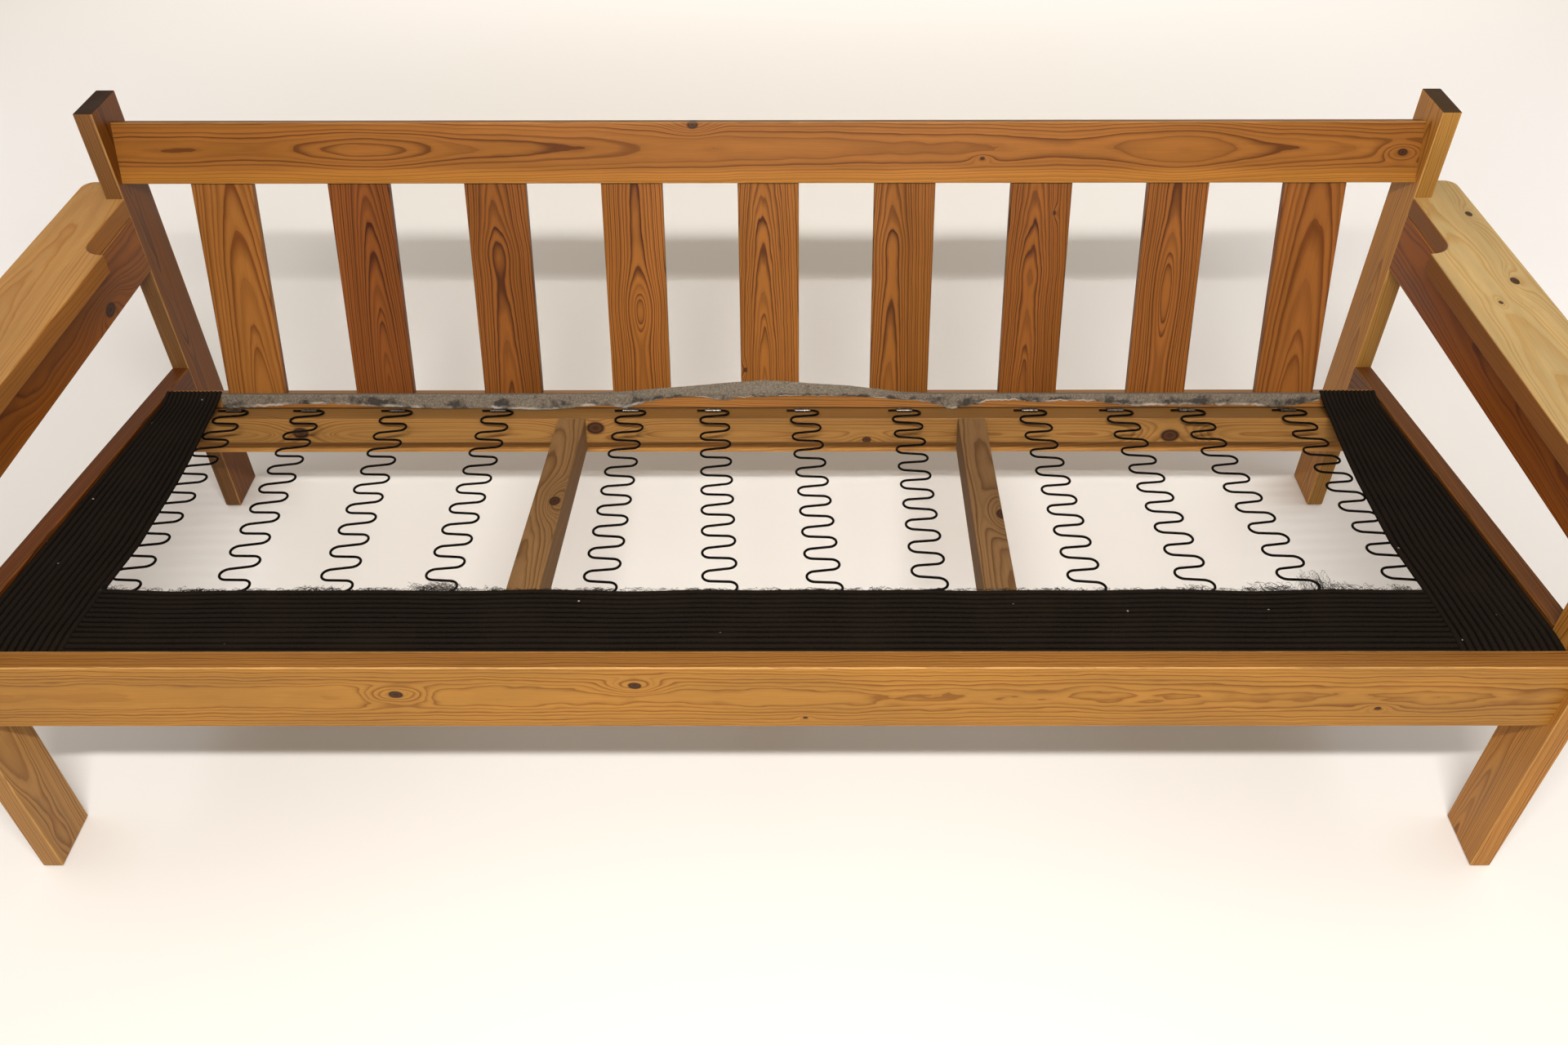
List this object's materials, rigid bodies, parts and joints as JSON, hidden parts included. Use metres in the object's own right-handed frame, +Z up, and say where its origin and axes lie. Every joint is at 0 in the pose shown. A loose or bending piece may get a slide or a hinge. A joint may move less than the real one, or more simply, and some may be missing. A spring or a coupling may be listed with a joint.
{
  "type": "three-seat sofa frame",
  "caption": "Solid pine sofa frame without cushions: sloping slatted back, flat arm boards, zigzag seat springs on bearers and a worn corduroy border",
  "frame": {"origin": "on the floor, in the middle of the object's width and depth", "axes": "X to the right as seen from the front, along the seat; Y to the rear; Z up"},
  "size_m": [2.062, 0.834, 0.733],
  "materials": {
    "pine": "aged clear-lacquered pine, worn on the arms",
    "dowel_wood": "plain beech",
    "spring_steel": "oil-tempered wire, dark bronze",
    "clip_steel": "bare folded sheet",
    "fastener_steel": "zinc plated",
    "corduroy": "wide-wale, worn",
    "lining": "stained non-woven felt"
  },
  "bodies": {
    "root": {"left_front_post": "pine", "left_rear_post": "pine", "left_arm_apron": "pine", "left_arm_board": "pine", "left_side_rail": "pine", "left_side_batten": "pine", "right_front_post": "pine", "right_rear_post": "pine", "right_arm_apron": "pine", "right_arm_board": "pine", "right_side_rail": "pine", "right_side_batten": "pine", "front_rail": "pine", "lower_back_rail": "pine", "top_back_rail": "pine", "front_spring_bearer": "pine", "rear_spring_bearer": "pine", "left_brace": "pine", "right_brace": "pine", "back_slat_1": "pine", "back_slat_2": "pine", "back_slat_3": "pine", "back_slat_4": "pine", "back_slat_5": "pine", "back_slat_6": "pine", "back_slat_7": "pine", "back_slat_8": "pine", "back_slat_9": "pine", "seat_spring_1": "spring_steel", "seat_spring_2": "spring_steel", "seat_spring_3": "spring_steel", "seat_spring_4": "spring_steel", "seat_spring_5": "spring_steel", "seat_spring_6": "spring_steel", "seat_spring_7": "spring_steel", "seat_spring_8": "spring_steel", "seat_spring_9": "spring_steel", "seat_spring_10": "spring_steel", "seat_spring_11": "spring_steel", "seat_spring_12": "spring_steel", "rear_spring_clips": "clip_steel", "front_spring_clips": "clip_steel", "rear_clip_nails": "fastener_steel", "front_clip_nails": "fastener_steel", "rear_bearer_screws": "fastener_steel", "front_bearer_screws": "fastener_steel", "left_batten_screws": "fastener_steel", "right_batten_screws": "fastener_steel", "left_frame_dowels": "dowel_wood", "right_frame_dowels": "dowel_wood", "left_arm_dowels": "dowel_wood", "right_arm_dowels": "dowel_wood", "cross_rail_dowels": "dowel_wood", "brace_dowels": "dowel_wood", "corduroy_front_strip": "corduroy", "left_corduroy_strip": "corduroy", "right_corduroy_strip": "corduroy", "lining_remnant": "lining"}
  },
  "joints": []
}
